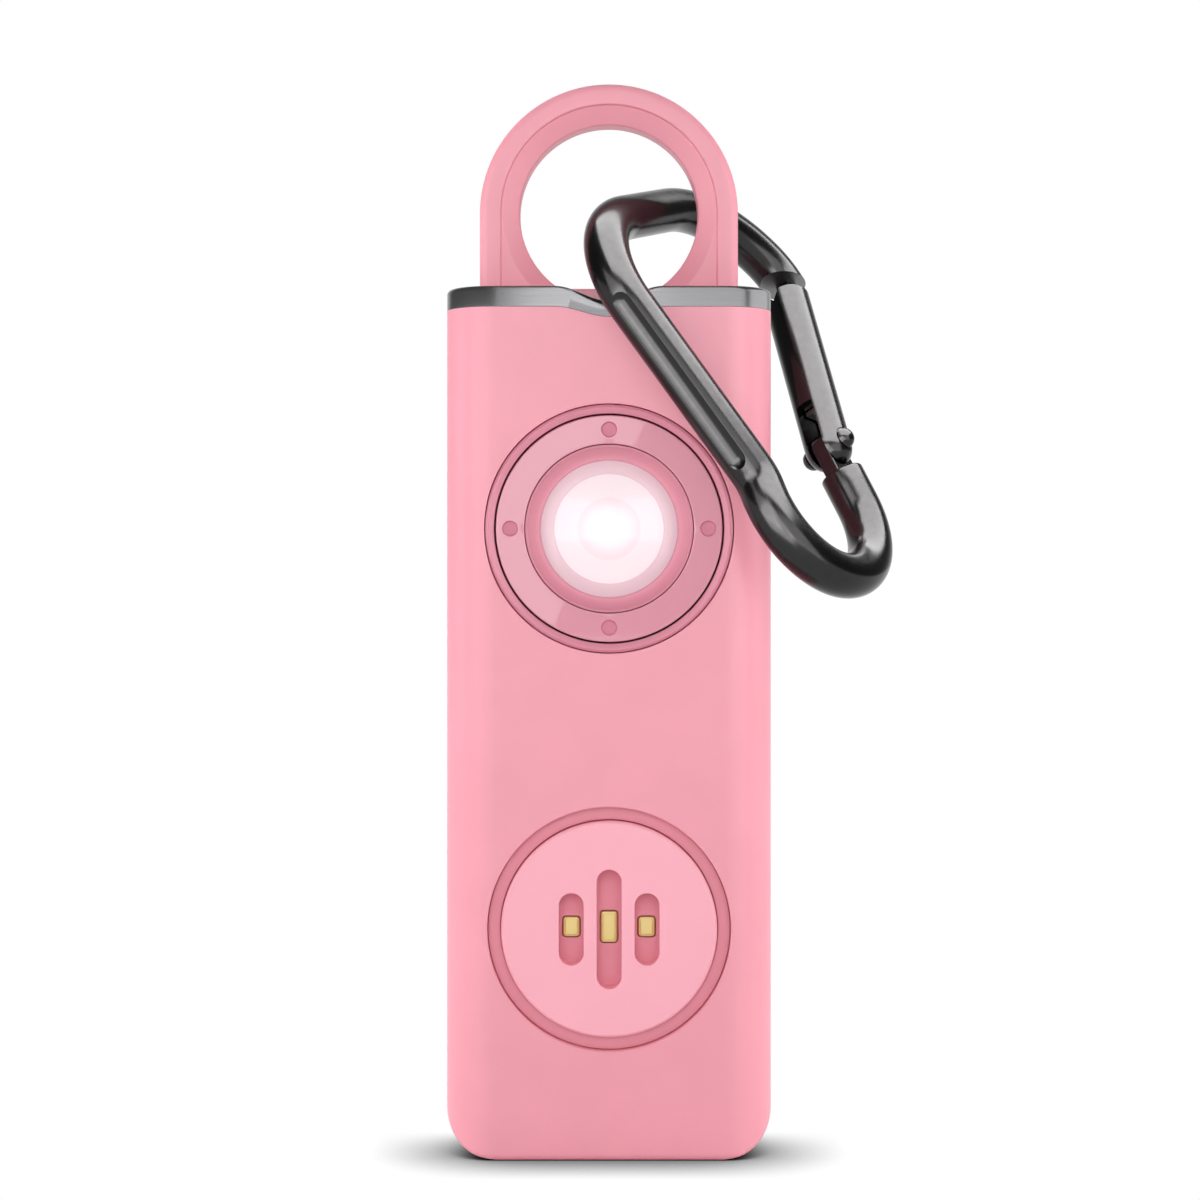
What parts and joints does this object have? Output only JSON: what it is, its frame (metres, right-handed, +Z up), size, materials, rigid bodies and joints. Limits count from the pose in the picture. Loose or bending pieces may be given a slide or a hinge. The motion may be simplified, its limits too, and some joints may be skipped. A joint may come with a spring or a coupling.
{
  "type": "personal safety alarm",
  "caption": "Pocket personal safety alarm with a pull-out loop and pin, a strobe light, a slotted sounder and a clip-on carabiner with a sprung gate.",
  "frame": {"origin": "centre of the case's flat base, on the surface that it stands on", "axes": "+X to the right of the front, where the carabiner hangs; +Y to the rear, so the strobe and sounder face -Y; +Z up, from the base to the pull loop"},
  "size_m": [0.0414, 0.029, 0.099],
  "materials": {
    "front_cover": "satin moulded ABS with a fine texture",
    "rear_cover": "satin moulded ABS with a fine texture",
    "top_band": "satin plated",
    "case_screws": "nickel plated",
    "pin_guide": "moulded",
    "strobe_rim": "satin",
    "strobe_bezel": "polished",
    "strobe_reflector": "satin",
    "strobe_lens": "translucent, polished",
    "strobe_led": "moulded resin",
    "sounder_housing": "satin",
    "sounder_cover": "satin moulded ABS with a fine texture",
    "sounder_plate": "bright rolled",
    "piezo_ceramic": "fired and silvered",
    "sounder_contacts": "spring brass",
    "circuit_board": "solder mask",
    "controller_chip": "moulded epoxy",
    "boost_coil": "ferrite",
    "driver_transistor": "moulded epoxy",
    "switch_body": "moulded",
    "switch_plunger": "moulded",
    "upper_cell": "nickel plated steel can",
    "lower_cell": "nickel plated steel can",
    "cell_contacts": "spring brass",
    "cell_clips": "spring steel strip",
    "pull_loop": "satin moulded ABS with a fine texture",
    "release_pin": "ground",
    "carabiner_frame": "black, polished before anodising",
    "carabiner_gate": "black, polished before anodising",
    "gate_rivet": "black, headed both ends",
    "gate_spring": "spring wire"
  },
  "bodies": {
    "case": {"front_cover": "front_cover", "rear_cover": "rear_cover", "top_band": "top_band", "case_screws": "case_screws", "pin_guide": "pin_guide", "strobe_rim": "strobe_rim", "strobe_bezel": "strobe_bezel", "strobe_reflector": "strobe_reflector", "strobe_lens": "strobe_lens", "strobe_led": "strobe_led", "sounder_housing": "sounder_housing", "sounder_cover": "sounder_cover", "sounder_plate": "sounder_plate", "piezo_ceramic": "piezo_ceramic", "sounder_contacts": "sounder_contacts", "circuit_board": "circuit_board", "controller_chip": "controller_chip", "boost_coil": "boost_coil", "driver_transistor": "driver_transistor", "switch_body": "switch_body", "upper_cell": "upper_cell", "lower_cell": "lower_cell", "cell_contacts": "cell_contacts", "cell_clips": "cell_clips"},
    "pull_pin": {"pull_loop": "pull_loop", "release_pin": "release_pin"},
    "carabiner": {"carabiner_frame": "carabiner_frame", "gate_rivet": "gate_rivet"},
    "gate": {"carabiner_gate": "carabiner_gate", "gate_spring": "gate_spring"},
    "plunger": {"switch_plunger": "switch_plunger"}
  },
  "joints": [
    {"name": "pull_out", "type": "slide", "parent": "case", "child": "pull_pin", "axis": [0, 0, 1], "range_m": [0, 0.02]},
    {"name": "carabiner_swing", "type": "hinge", "parent": "pull_pin", "child": "carabiner", "pos_m": [0, 0, 0.087], "axis": [0, -1, 0], "range_deg": [0, 150]},
    {"name": "gate_hinge", "type": "hinge", "parent": "carabiner", "child": "gate", "pos_m": [0.02084, 0.00281, 0.06534], "axis": [0.68, -0.5417, 0.4941], "range_deg": [0, 16], "stiffness_Nm_per_rad": 0.01, "springref_deg": -11.46},
    {"name": "plunger_travel", "type": "slide", "parent": "case", "child": "plunger", "axis": [0, 0, 1], "range_m": [0, 0.001]}
  ],
  "couplings": [
    {"joint": "plunger_travel", "follows": "pull_out", "ratio": 0.05}
  ]
}
